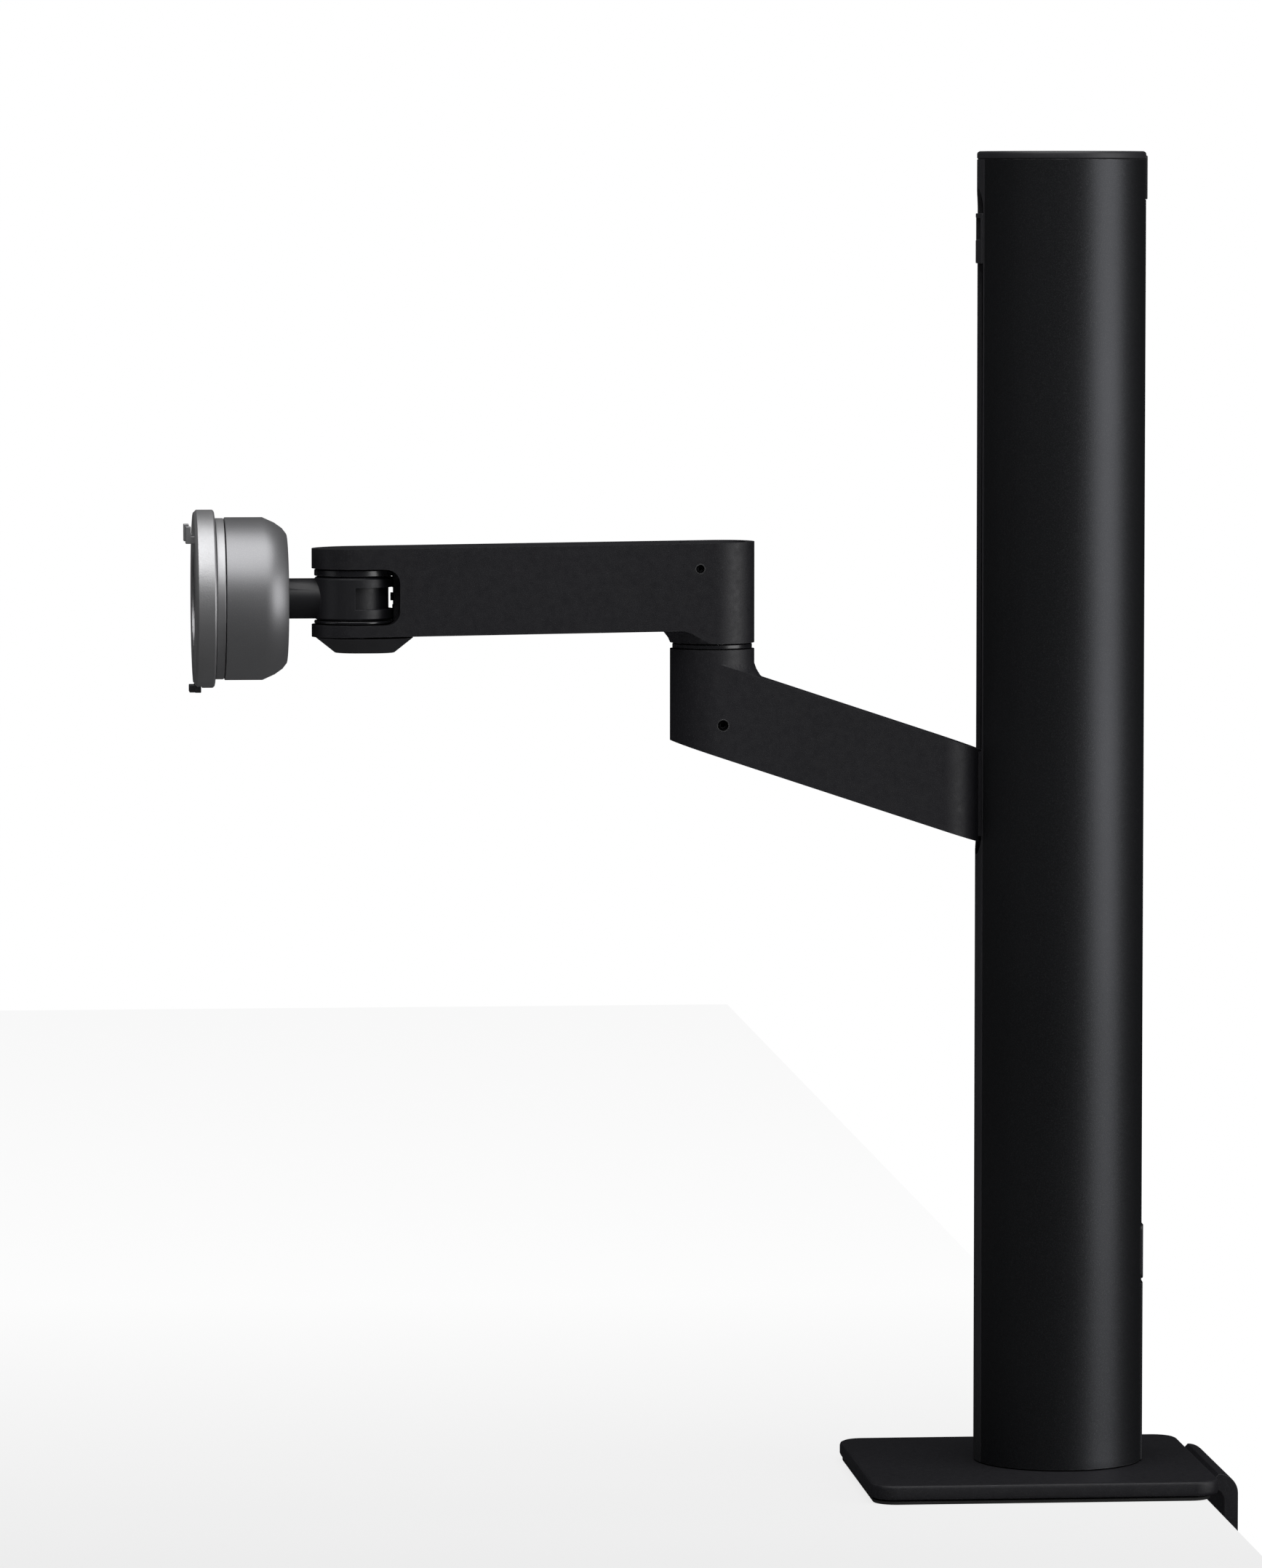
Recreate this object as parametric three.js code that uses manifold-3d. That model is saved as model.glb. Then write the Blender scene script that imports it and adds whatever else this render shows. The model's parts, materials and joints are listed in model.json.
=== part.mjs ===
// Monitor arm: a desk clamp carries a swivelling column. A carriage rides up and down inside the
// column and pushes a short lower arm out through the front slot. An upper arm turns on its elbow
// and ends in a fork, where the head swivels, tilts and pivots.
// Millimetres. +Z is up, Z = 0 is the desk top, the column's axis is X = Y = 0, +X is the desk's edge.

import * as THREE from 'three';
import { mergeVertices } from 'three/addons/utils/BufferGeometryUtils.js';
import Module from 'manifold-3d';

const wasm = await Module();
wasm.setup();

// ---------------------------------------------------------------- sizes

const GAP = 0.3; // between two pieces that touch
const RUN = 0.4; // between two pieces that move past each other

const base = { front: -73, back: 51, width: 113, top: 7, corner: 9, edge: 1.4, padThickness: 1.2 };
const bracket = {
  reach: 9, thickness: 5, width: 72, tongueFront: 24, tongueThickness: 3, bend: 5, shoulder: 7,
  jawFront: -14, jawTop: -78, jawThickness: 12, jawWidth: 42,
};
bracket.back = base.back + bracket.reach;
bracket.jawBottom = bracket.jawTop - bracket.jawThickness;
const clamp = { x: 12, screwRadius: 4.7, padTop: -25, padRadius: 26 };
const knob = { radius: 20, height: 24, top: bracket.jawBottom - 18, scallop: 7, grip: 18 };

const column = { radius: 30, wall: 3.5, bottom: base.top + RUN, top: 475, capThickness: 2.6, tabLength: 17 };
column.inner = column.radius - column.wall;
const slot = { width: 15, bottom: 225, top: column.top - 13 };
const clip = { top: slot.top - 9, height: 17.7 };
const trim = { width: slot.width + 2, depth: 1.7 };

const spigot = { radius: 18, collar: 3.4, flangeTop: 12, top: 60, bore: 13, screwBore: 7, screwPlace: 10.5 };
spigot.flange = spigot.radius + spigot.collar;
const hub = { bottom: spigot.flangeTop + 2.6, top: spigot.top - 8, stopHeight: 4.4, stopHalfAngle: 19.5 };
hub.inner = spigot.radius + 2.6;
hub.stopTop = hub.bottom + hub.stopHeight;
const lockNut = { width: 6, height: 6 };

const rails = { x: 3, spread: 16, radius: 4, discHeight: 11, footBottom: spigot.top + 1 };
rails.head = column.top - 29;
rails.foot = rails.footBottom + 5;
const rear = { width: 16, thickness: 1.7, coverTop: rails.footBottom + 10.5, buttonHeight: 20, proud: 0.5 };
rear.buttonBottom = rear.coverTop + 0.5;
rear.buttonTop = rear.buttonBottom + rear.buttonHeight;
rear.buttonMiddle = (rear.buttonBottom + rear.buttonTop) / 2;
const gas = { radius: 10, wall: 2, bottom: rails.footBottom + 11.5, top: slot.bottom - 3, rodRadius: 3 };
gas.x = column.inner - 13.5 - gas.radius;

const arm = { width: 30, slope: 0.333, rootZ: slot.bottom + 5, height: 33, nose: 1.7, length: 81.2 };
arm.rootX = arm.nose - column.radius - arm.width / 2;
const carriage = { back: 12, bottom: slot.bottom + 1, height: 78, screwRadius: 2.6 };
carriage.radius = column.inner - 0.9;
carriage.top = carriage.bottom + carriage.height;
carriage.front = 8.8 - column.inner;

const armBottom = (x) => arm.rootZ + arm.slope * (-column.radius - x);
const armTop = (x) => armBottom(x) + arm.height;

const elbow = { x: arm.rootX - arm.length, radius: arm.width / 2, boss: 4.53, gap: 2.2, shaftRadius: 6 };
elbow.lowerTop = armTop(elbow.x) + elbow.boss;
elbow.upperBottom = elbow.lowerTop + elbow.gap;
elbow.lowerLock = { x: elbow.x + 2.5, z: elbow.lowerTop - 26.6, radius: 1.9 };
const upper = { length: 127.2, rise: 35.8, foot: 5, topDrop: 2, bottomDrop: 2.4 };
upper.rightBottom = elbow.upperBottom + upper.foot;
upper.rightTop = elbow.upperBottom + upper.rise;
upper.leftBottom = upper.rightBottom - upper.bottomDrop;
upper.leftTop = upper.rightTop - upper.topDrop;
elbow.seat = upper.rightTop - 14.4;
elbow.upperLock = { x: elbow.x - 5.6, z: upper.rightTop - 9.2, radius: 1.5 };

const fork = { x: elbow.x - upper.length, radius: arm.width / 2, pinRadius: 5, web: 9 };
const knuckle = { radius: fork.radius - 0.9, below: 7.3, above: 7.7, axisZ: upper.leftBottom + 13.5 };
knuckle.bottom = knuckle.axisZ - knuckle.below;
knuckle.top = knuckle.axisZ + knuckle.above;
knuckle.neckRadius = Math.min(knuckle.below, knuckle.above) - 0.15;
knuckle.groove = { depth: 1.9, bottom: knuckle.bottom + 3.7, top: knuckle.top - 3.5, halfAngle: 91 };
fork.pocketBottom = knuckle.bottom - 1.8;
fork.pocketTop = knuckle.top + 3;
fork.rebateEnd = fork.x + fork.radius + 0.5;
const tilt = { x: fork.x - 35.3, z: knuckle.axisZ, lugRadius: 8, lugWidth: 12, shaftRadius: 4, cheek: 3 };
tilt.shaftEnd = tilt.lugWidth / 2 + 2 + tilt.cheek + GAP;
const cup = { radius: 28.8, rimRadius: 22.8, wall: 2.4, back: tilt.x + 11.4, bevel: 8.6, depth: 22 };
cup.bevelX = cup.back - cup.bevel;
cup.front = cup.back - cup.depth;
const mount = { radius: 31.5, thickness: 7.3, back: cup.front - 3.6, bossRadius: 12, recessRadius: 16.5 };
mount.front = mount.back - mount.thickness;
mount.stop = { radius: 24, pin: 2, groove: 2.6 };

// ---------------------------------------------------------------- shapes

function toManifold(geometry) {
  const source = new THREE.BufferGeometry();
  source.setAttribute('position', geometry.getAttribute('position').clone());
  source.setIndex(geometry.getIndex());
  const merged = mergeVertices(source, 1e-4);
  const positions = merged.getAttribute('position');
  const index = Array.from(merged.getIndex().array);
  const corners = [];
  let volume = 0;
  const a = new THREE.Vector3();
  const b = new THREE.Vector3();
  const c = new THREE.Vector3();
  for (let i = 0; i < index.length; i += 3) {
    const [p, q, r] = index.slice(i, i + 3);
    if (p === q || q === r || r === p) continue;
    corners.push(p, q, r);
    volume += a.fromBufferAttribute(positions, p).dot(
      b.fromBufferAttribute(positions, q).cross(c.fromBufferAttribute(positions, r)));
  }
  if (volume < 0) corners.reverse();
  return new wasm.Manifold(new wasm.Mesh({
    numProp: 3,
    vertProperties: Float32Array.from(positions.array),
    triVerts: Uint32Array.from(corners),
  }));
}

function toGeometry(manifold) {
  const mesh = manifold.getMesh();
  const geometry = new THREE.BufferGeometry();
  geometry.setAttribute('position', new THREE.BufferAttribute(mesh.vertProperties, 3));
  geometry.setIndex(new THREE.BufferAttribute(mesh.triVerts, 1));
  geometry.computeVertexNormals();
  return geometry;
}

const combine = (how) => (first, ...others) =>
  toGeometry(others.map(toManifold).reduce((sum, other) => sum[how](other), toManifold(first)));

const join = combine('add');
const cut = combine('subtract');
const common = combine('intersect');

// A profile of [radius, height] points turned about the Z axis.
function turned(profile, segments) {
  const points = profile.map(([radius, height]) => new THREE.Vector2(radius, height));
  return new THREE.LatheGeometry(points, segments).rotateX(Math.PI / 2);
}

function rod(radius, bottom, top, segments = 20) {
  return turned([[0, bottom], [radius, bottom], [radius, top], [0, top]], segments);
}

function ring(outer, inner, bottom, top, segments = 20) {
  return turned([[inner, bottom], [outer, bottom], [outer, top], [inner, top], [inner, bottom]], segments);
}

// A nut with flat sides and a round hole.
function nut(outer, inner, bottom, top, sides = 6) {
  return cut(rod(outer, bottom, top, sides), rod(inner, bottom - 1, top + 1, 24));
}

// The same pieces lying along X or Y: their axis is turned from Z.
const alongX = (geometry) => geometry.rotateY(Math.PI / 2);
const alongY = (geometry) => geometry.rotateX(-Math.PI / 2);

function box(x0, x1, y0, y1, z0, z1) {
  return new THREE.BoxGeometry(x1 - x0, y1 - y0, z1 - z0)
    .translate((x0 + x1) / 2, (y0 + y1) / 2, (z0 + z1) / 2);
}

function outline(points) {
  return new THREE.Shape(points.map(([x, y]) => new THREE.Vector2(x, y)));
}

function roundedRectangle(x0, x1, y0, y1, r) {
  const shape = new THREE.Shape();
  shape.absarc(x1 - r, y0 + r, r, -Math.PI / 2, 0);
  shape.absarc(x1 - r, y1 - r, r, 0, Math.PI / 2);
  shape.absarc(x0 + r, y1 - r, r, Math.PI / 2, Math.PI);
  shape.absarc(x0 + r, y0 + r, r, Math.PI, Math.PI * 1.5);
  return shape;
}

const sector = (angle, inner, outer) => {
  const shape = new THREE.Shape();
  shape.absarc(0, 0, outer, -angle, angle);
  shape.absarc(0, 0, inner, angle, -angle, true);
  return shape;
};

// An outline drawn in XY, XZ or YZ and given depth along the remaining axis.
function slabXY(shape, z0, z1, segments = 8) {
  return new THREE.ExtrudeGeometry(shape, { depth: z1 - z0, bevelEnabled: false, curveSegments: segments })
    .translate(0, 0, z0);
}

function slabXZ(shape, y0, y1, segments = 8) {
  return slabXY(shape, -y1, -y0, segments).rotateX(Math.PI / 2);
}

function slabYZ(shape, x0, x1, segments = 8) {
  const turn = new THREE.Matrix4().makeBasis(
    new THREE.Vector3(0, 1, 0), new THREE.Vector3(0, 0, 1), new THREE.Vector3(1, 0, 0));
  return slabXY(shape, x0, x1, segments).applyMatrix4(turn);
}

// A screw with a round head and a hexagonal socket, head down, its shank running up from Z = 0.
function socketScrew(shankRadius, length, headRadius, headHeight) {
  const body = turned([
    [0, -headHeight], [headRadius, -headHeight], [headRadius, 0],
    [shankRadius, 0], [shankRadius, length], [0, length],
  ], 16);
  return cut(body, rod(headRadius * 0.5, -headHeight - 1, -headHeight * 0.4, 6));
}

function countersunkScrew(shankRadius, length, headRadius) {
  const headHeight = headRadius - shankRadius;
  const body = turned([
    [0, 0], [headRadius, 0], [shankRadius, headHeight], [shankRadius, length], [0, length],
  ], 16);
  return cut(body, rod(shankRadius * 0.6, -1, headHeight * 0.8, 6));
}

// A set screw lying along Y, with its socket on the -Y side.
function setScrew(radius, y0, y1) {
  const body = cut(rod(radius, y0, y1, 12), rod(radius * 0.5, y0 - 1, y0 + radius, 6));
  return alongY(body);
}

function coil(radius, wire, turns, length) {
  class Helix extends THREE.Curve {
    getPoint(t) {
      const angle = t * turns * Math.PI * 2;
      return new THREE.Vector3(radius * Math.cos(angle), radius * Math.sin(angle), t * length);
    }
  }
  const section = new THREE.Shape();
  section.absarc(0, 0, wire, 0, Math.PI * 2);
  return new THREE.ExtrudeGeometry(section, {
    extrudePath: new Helix(), steps: turns * 9, curveSegments: 3, bevelEnabled: false,
  });
}

// ---------------------------------------------------------------- base and clamp

function basePlate() {
  const half = base.width / 2;
  const { edge } = base;
  const bottom = base.padThickness + GAP;
  const inset = roundedRectangle(base.front + edge, base.back - edge, edge - half, half - edge,
    base.corner - edge);
  const plate = new THREE.ExtrudeGeometry(inset, {
    depth: base.top - bottom - 2 * edge,
    bevelThickness: edge,
    bevelSize: edge,
    bevelSegments: 2,
    curveSegments: 4,
  }).translate(0, 0, bottom + edge);
  const tongueHalf = bracket.width / 2 + GAP;
  const pocket = box(bracket.tongueFront - GAP, base.back + 1, -tongueHalf, tongueHalf,
    0, bottom + bracket.tongueThickness + GAP);
  const holes = spigotScrewPlaces().map(([x, y]) => countersink(bottom).translate(x, y, 0));
  const bracketHoles = bracketScrewPlaces().map(([x, y]) => rod(2.4, 0, base.top - 1, 12).translate(x, y, 0));
  return cut(plate, pocket, ...holes, ...bracketHoles);
}

const spigotScrewPlaces = () => [-1, 1].map((side) => [0, spigot.screwPlace * side]);
const bracketScrewPlaces = () => [-1, 1].map((side) => [
  bracket.tongueFront + 14, (bracket.width / 2 - 10) * side,
]);

const countersink = (bottom) => turned([
  [0, bottom - 1], [4.1, bottom - 1], [4.1, bottom + 0.3],
  [2.5, bottom + 1.9], [2.5, bottom + 14], [0, bottom + 14],
], 12);

function deskPad() {
  const half = base.width / 2 - 1;
  const shape = roundedRectangle(base.front + 1, base.back - 3, -half, half, base.corner - 1);
  return slabXY(shape, 0, base.padThickness, 5);
}

// A bent strap: its tongue lies under the plate, its leg goes down behind the desk's edge, and its
// narrower jaw comes forward under the desk.
function clampBracket() {
  const { back, bend, shoulder, jawFront, jawTop, jawBottom, tongueFront } = bracket;
  const tongueBottom = base.padThickness + GAP;
  const tongueTop = tongueBottom + bracket.tongueThickness;
  const inside = back - bracket.thickness;
  const outerBend = bend + jawTop - jawBottom;
  const shape = new THREE.Shape();
  shape.moveTo(tongueFront, tongueBottom);
  shape.absarc(inside - bend, tongueBottom - bend, bend, Math.PI / 2, 0, true);
  shape.absarc(inside - bend, jawTop + bend, bend, 0, -Math.PI / 2, true);
  shape.lineTo(jawFront, jawTop);
  shape.lineTo(jawFront, jawBottom);
  shape.absarc(back - outerBend, jawBottom + outerBend, outerBend, -Math.PI / 2, 0);
  shape.absarc(back - shoulder, base.top - 0.6 - shoulder, shoulder, 0, Math.PI / 2);
  shape.lineTo(base.back + GAP, tongueTop);
  shape.lineTo(tongueFront, tongueTop);
  const half = bracket.width / 2;
  const jawHalf = bracket.jawWidth / 2;
  const strap = slabXZ(shape, -half, half, 5);
  const sides = [-1, 1].map((side) => slabYZ(outline([
    [side * jawHalf, jawBottom - 1], [side * jawHalf, jawTop + 18],
    [side * (half + 1), jawTop + 53], [side * (half + 1), jawBottom - 1],
  ]), jawFront - 1, back + 1));
  const holes = bracketScrewPlaces().map(([x, y]) => rod(2.9, 0, 6, 12).translate(x, y, 0));
  const bore = rod(clamp.screwRadius + RUN, jawBottom - 1, jawTop + 1).translate(clamp.x, 0, 0);
  return cut(strap, ...sides, ...holes, bore);
}

function bracketScrew([x, y]) {
  const bottom = base.padThickness + GAP + 0.2;
  return countersunkScrew(2.1, 4.1, 2.6).translate(x, y, bottom);
}

function clampScrew() {
  const ball = clamp.padTop - 9;
  const end = knob.top - knob.grip;
  const tip = clamp.screwRadius - 1.5;
  return turned([
    [0, end], [clamp.screwRadius, end],
    [clamp.screwRadius, ball - 4], [tip, ball - 3], [tip, ball + 0.6], [0, ball + 0.6],
  ], 24).translate(clamp.x, 0, 0);
}

function pressurePlate() {
  const top = clamp.padTop - 2 - GAP;
  const socket = clamp.screwRadius - 1.1;
  return turned([
    [0, top], [clamp.padRadius, top], [clamp.padRadius, top - 3],
    [socket + 5.4, top - 5], [socket + 5.4, top - 9], [socket, top - 9], [socket, top - 5.6], [0, top - 5.6],
  ].reverse(), 28).translate(clamp.x, 0, 0);
}

function pressurePad() {
  return rod(clamp.padRadius - 1.5, clamp.padTop - 2, clamp.padTop, 32).translate(clamp.x, 0, 0);
}

// A round grip with six finger scallops.
function clampKnob() {
  const { radius, top, height, grip: depth } = knob;
  const bottom = top - height;
  const grip = turned([
    [0, bottom], [radius - 3, bottom], [radius, bottom + 3], [radius, top - 5], [radius - 6, top], [0, top],
  ], 24);
  const scallop = (angle) => rod(knob.scallop, bottom - 1, top + 1, 12)
    .translate((radius + 3.5) * Math.cos(angle), (radius + 3.5) * Math.sin(angle), 0);
  const scallops = [0, 1, 2, 3, 4, 5].map((i) => scallop(i * Math.PI / 3));
  const socket = rod(clamp.screwRadius + GAP, top - depth - GAP, top + 1);
  return cut(grip, ...scallops, socket).translate(clamp.x, 0, 0);
}

// ---------------------------------------------------------------- swivel at the foot of the column

function swivelSpigot() {
  const bottom = base.top + GAP;
  const { radius, flange, flangeTop, top, bore, screwBore } = spigot;
  const post = turned([
    [screwBore, bottom], [flange, bottom], [flange, flangeTop], [radius, flangeTop], [radius, top],
    [bore, top], [bore, flangeTop + 2], [screwBore, flangeTop + 2], [screwBore, bottom],
  ], 28);
  const angle = hub.stopHalfAngle * Math.PI / 180;
  const ledge = slabXY(sector(angle, flange - 2, column.inner - 0.8), bottom, flangeTop, 4);
  const stop = slabXY(sector(angle, flange + 0.8, column.inner - 0.8), bottom, hub.stopTop - 0.6, 4);
  const holes = spigotScrewPlaces().map(([x, y]) => rod(2.4, bottom - 1, flangeTop + 1, 12)
    .translate(x, y, 0));
  return cut(join(post, ledge, stop), ...holes);
}

function spigotScrew([x, y]) {
  return countersunkScrew(2.1, 10.2, 3.6).translate(x, y, base.padThickness + GAP + 0.1);
}

function thrustRing() {
  return ring(spigot.flange, spigot.radius + GAP, spigot.flangeTop + GAP, hub.bottom - GAP, 28);
}

function swivelBushing() {
  return ring(hub.inner - RUN, spigot.radius + GAP, hub.bottom, hub.top, 28);
}

function ringNut() {
  const bottom = hub.top + RUN;
  return nut(spigot.radius + lockNut.width, spigot.radius + 0.5, bottom, bottom + lockNut.height, 8);
}

// The column's own socket: it turns on the spigot, and its tooth meets the spigot's stop.
function columnHub() {
  const outer = column.inner - GAP;
  const sleeve = turned([
    [hub.inner, hub.bottom], [spigot.flange + RUN, hub.bottom], [spigot.flange + RUN, hub.stopTop],
    [outer, hub.stopTop], [outer, hub.top], [hub.inner, hub.top], [hub.inner, hub.bottom],
  ], 32);
  const tooth = slabXY(sector(hub.stopHalfAngle * Math.PI / 180, spigot.flange, outer - 0.4),
    hub.bottom, hub.stopTop + 1, 6).rotateZ(Math.PI);
  return join(sleeve, tooth);
}

// ---------------------------------------------------------------- column

const stadiumZ = (halfWidth, bottom, top) => roundedRectangle(-halfWidth, halfWidth, bottom, top, halfWidth);

function slotTool(grow = 0) {
  return slabYZ(stadiumZ(slot.width / 2 + grow, slot.bottom - grow, slot.top + grow),
    -column.radius - 5, -column.radius / 2, 8);
}

function arcStrip(inner, outer, halfWidth, bottom, top, side) {
  const angle = Math.asin(halfWidth / outer);
  const strip = slabXY(sector(angle, inner, outer), bottom, top, 6);
  return side < 0 ? strip.rotateZ(Math.PI) : strip;
}

function columnTube() {
  const { radius, inner, bottom, top, capThickness, tabLength } = column;
  const tabHalf = rear.width / 2 - 1;
  const shell = ring(radius, inner, bottom, top - capThickness - GAP, 48);
  const halfTrim = trim.width / 2 + GAP;
  const halfRear = rear.width / 2 + GAP;
  const outside = radius + 3;
  const flare = outside / radius;
  const trimGroove = arcStrip(radius - trim.depth - GAP, outside, halfTrim * flare, bottom - 1, top, -1);
  const coverGroove = arcStrip(radius - rear.thickness - GAP, outside, halfRear * flare,
    bottom - 1, rear.coverTop + GAP, 1);
  const buttonShape = roundedRectangle(-halfRear, halfRear, rear.buttonBottom + 0.4, rear.buttonTop + GAP, 2);
  const buttonHole = slabYZ(buttonShape, radius / 2, radius + 5, 3);
  const tabNotch = box(radius / 2, radius + 5, -tabHalf - GAP, tabHalf + GAP, top - tabLength - GAP, top);
  return cut(shell, trimGroove, slotTool(), coverGroove, buttonHole, tabNotch);
}

function frontTrim() {
  const strip = arcStrip(column.radius - trim.depth, column.radius, trim.width / 2,
    column.bottom, column.top - column.capThickness - GAP, -1);
  return cut(strip, slotTool());
}

// A small clip closes the top of the slot. Its upper half is hollow at the front.
function slotClip() {
  const half = slot.width / 2 - GAP;
  const { radius, inner, wall } = column;
  const front = -radius - 2;
  const bottom = clip.top - clip.height;
  const block = box(front, 2.5 - inner, -half, half, bottom, clip.top);
  const face = rod(radius + 0.4, bottom - 1, clip.top + 1, 48);
  const recess = box(front, wall - radius, 1.6 - half, half - 1.6, bottom + 8.2, clip.top - 1.6);
  return cut(common(block, face), recess);
}

function rearCover() {
  return arcStrip(column.radius - rear.thickness, column.radius + rear.proud, rear.width / 2,
    column.bottom, rear.coverTop - GAP, 1);
}

function columnCap() {
  const { radius, top, capThickness, inner, tabLength } = column;
  const under = top - capThickness;
  const disc = turned([
    [0, under], [radius, under], [radius, top - 0.9],
    [radius - 0.3, top - 0.3], [radius - 0.9, top], [0, top],
  ], 48);
  const plug = ring(inner - GAP, inner - 2.5, under - 6, under + 1, 32);
  const tab = arcStrip(inner + 0.5, radius + rear.proud, rear.width / 2 - 1, top - tabLength, under + 1, 1);
  return join(disc, plug, tab);
}

const railPlaces = () => [-1, 1].map((side) => [rails.x, rails.spread * side]);

function railFoot() {
  const { footBottom, discHeight, radius, foot } = rails;
  const top = footBottom + discHeight;
  const disc = rod(column.inner - GAP, footBottom, top, 32);
  const sockets = railPlaces().map(([x, y]) => rod(radius + GAP, foot - GAP, top + 1, 16).translate(x, y, 0));
  const bore = rod(6, footBottom - 1, top + 1, 16).translate(gas.x, 0, 0);
  return cut(disc, ...sockets, bore);
}

// The upper rail plate stops short of the slot, so that the slot stays open in front of it.
function railHead() {
  const bottom = rails.head - 6;
  const top = rails.head + 4;
  const { inner } = column;
  const behindSlot = box(4.5 - inner, inner, -inner, inner, bottom - 1, top + 1);
  const disc = common(rod(inner - GAP, bottom, top, 32), behindSlot);
  const sockets = railPlaces().map(([x, y]) => rod(rails.radius + GAP, bottom - 1, rails.head + GAP, 16)
    .translate(x, y, 0));
  return cut(disc, ...sockets);
}

function rail([x, y]) {
  return rod(rails.radius, rails.foot, rails.head, 16).translate(x, y, 0);
}

function stopBuffer([x, y]) {
  const { radius, head } = rails;
  return ring(radius + 3, radius + GAP, head - 11.4, head - 6 - GAP, 16).translate(x, y, 0);
}

function gasCylinder() {
  const { radius, wall, bottom, top, rodRadius } = gas;
  const inner = radius - wall;
  return turned([
    [0, bottom], [radius, bottom], [radius, top], [rodRadius + RUN, top], [rodRadius + RUN, top - 3],
    [inner, top - 3], [inner, bottom + 2.5], [0, bottom + 2.5],
  ], 24).translate(gas.x, 0, 0);
}

// Rod and piston in one piece: at the arm's highest setting the piston is just under the seal.
function gasRod() {
  const { radius, wall, rodRadius, bottom } = gas;
  const piston = bottom + 6;
  return turned([
    [0, piston], [radius - wall - RUN, piston], [radius - wall - RUN, piston + 5], [rodRadius, piston + 5],
    [rodRadius, carriage.bottom + 6], [0, carriage.bottom + 6],
  ], 24).translate(gas.x, 0, 0);
}

// ---------------------------------------------------------------- cover button

function coverButton() {
  const half = rear.width / 2 - 0.1;
  const { inner, radius } = column;
  const { buttonBottom, buttonTop, proud } = rear;
  const shape = roundedRectangle(-half, half, buttonBottom + 0.8, buttonTop - 0.1, 1.8);
  const face = common(
    slabYZ(shape, inner - 3.9, radius + 2, 3),
    rod(radius + proud + 0.1, buttonBottom - 10, buttonTop + 10, 48));
  const flange = box(inner - 4.5, inner - 2.7, -half - 2.1, half + 2.1, buttonBottom + 0.6, buttonTop + 1.6);
  return join(face, flange);
}

function buttonSpring() {
  return alongX(coil(3, 0.5, 3, 4.6)).translate(column.inner - 10.1, 0, rear.buttonMiddle);
}

function buttonGuide() {
  const front = column.inner - 12.3;
  const half = rear.width / 2 + 0.5;
  const block = box(front, front + 5.4, -half, half, rear.buttonBottom + 0.3, rear.buttonTop + 2);
  const bore = alongX(rod(4.4, 0, 30, 16)).translate(front - 0.4, 0, rear.buttonMiddle);
  return cut(block, bore);
}

// ---------------------------------------------------------------- carriage and lower arm

const screwHeights = [arm.rootZ + 10, arm.rootZ + 24];

function carriageBlock() {
  const { front, back, bottom, top, radius, screwRadius } = carriage;
  const halfWidth = radius - 1.6;
  const block = common(
    box(front, back, -halfWidth, halfWidth, bottom, top),
    rod(radius, bottom - 1, top + 1, 32));
  const railBores = railPlaces().map(([x, y]) => rod(rails.radius + 1.6, bottom - 1, top + 1, 16)
    .translate(x, y, 0));
  const rodSocket = rod(gas.rodRadius + GAP + 0.05, bottom - 1, bottom + 6 + GAP, 24).translate(gas.x, 0, 0);
  const screwBores = screwHeights.map((z) => alongX(rod(screwRadius + GAP, front - 1, back + 1, 12))
    .translate(0, 0, z));
  const heads = screwHeights.map((z) => alongX(rod(5.3, back - 5, back + 1, 16)).translate(0, 0, z));
  return cut(block, ...railBores, rodSocket, ...screwBores, ...heads);
}

function carriageBushing([x, y]) {
  const { radius } = rails;
  return ring(radius + 1.2, radius + RUN, carriage.bottom + 1, carriage.top - 1, 16).translate(x, y, 0);
}

function armScrew(z) {
  const seat = carriage.back - 4.8;
  const length = seat - carriage.front + 13;
  return alongX(socketScrew(carriage.screwRadius, length, 5, 4).rotateX(Math.PI)).translate(seat, 0, z);
}

// A concave sweep where a hinge barrel grows out of its arm: it starts on the barrel's side at
// height flush, and is 4.5 mm wide by the time it reaches height run.
function coving(flush, run, end) {
  const outer = elbow.radius + 4.5;
  const at = (share) => THREE.MathUtils.lerp(flush, run, share);
  return turned([
    [0, end], [outer, end], [outer, run], [elbow.radius + 2.2, at(0.7)], [elbow.radius + 0.8, at(0.35)],
    [elbow.radius, flush], [0, flush],
  ], 40);
}

function lowerArm() {
  const half = arm.width / 2;
  const tip = elbow.x - elbow.radius;
  const root = arm.rootX + half;
  const side = outline([
    [tip, armBottom(tip)], [root, armBottom(root)], [root, armTop(root)], [tip, armTop(tip)],
  ]);
  const { lowerTop, lowerLock, shaftRadius } = elbow;
  const plan = slabXY(roundedRectangle(tip, root, -half, half, half), arm.rootZ - 30, lowerTop, 12);
  const sweep = coving(lowerTop - 5, lowerTop - 11.6, lowerTop - 19).translate(elbow.x, 0, 0);
  const barrel = rod(elbow.radius, lowerTop - 19, lowerTop, 48).translate(elbow.x, 0, 0);
  const body = common(join(slabXZ(side, -half - 1, half + 1), sweep, barrel), plan);
  const neckHalf = slot.width / 2 - 0.5;
  const neck = box(root - 8, carriage.front - GAP, -neckHalf, neckHalf, arm.rootZ + 2, arm.rootZ + 32);
  const shaftBore = rod(shaftRadius + GAP, lowerTop - 33, lowerTop + 1).translate(elbow.x, 0, 0);
  const lockBore = alongY(rod(lowerLock.radius + GAP, -half - 1, 2 - shaftRadius, 12))
    .translate(lowerLock.x, 0, lowerLock.z);
  const screwBores = screwHeights.map((z) => alongX(rod(carriage.screwRadius + GAP, root - 9.7, 0, 12))
    .translate(0, 0, z));
  return cut(join(body, neck), shaftBore, lockBore, ...screwBores);
}

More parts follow.
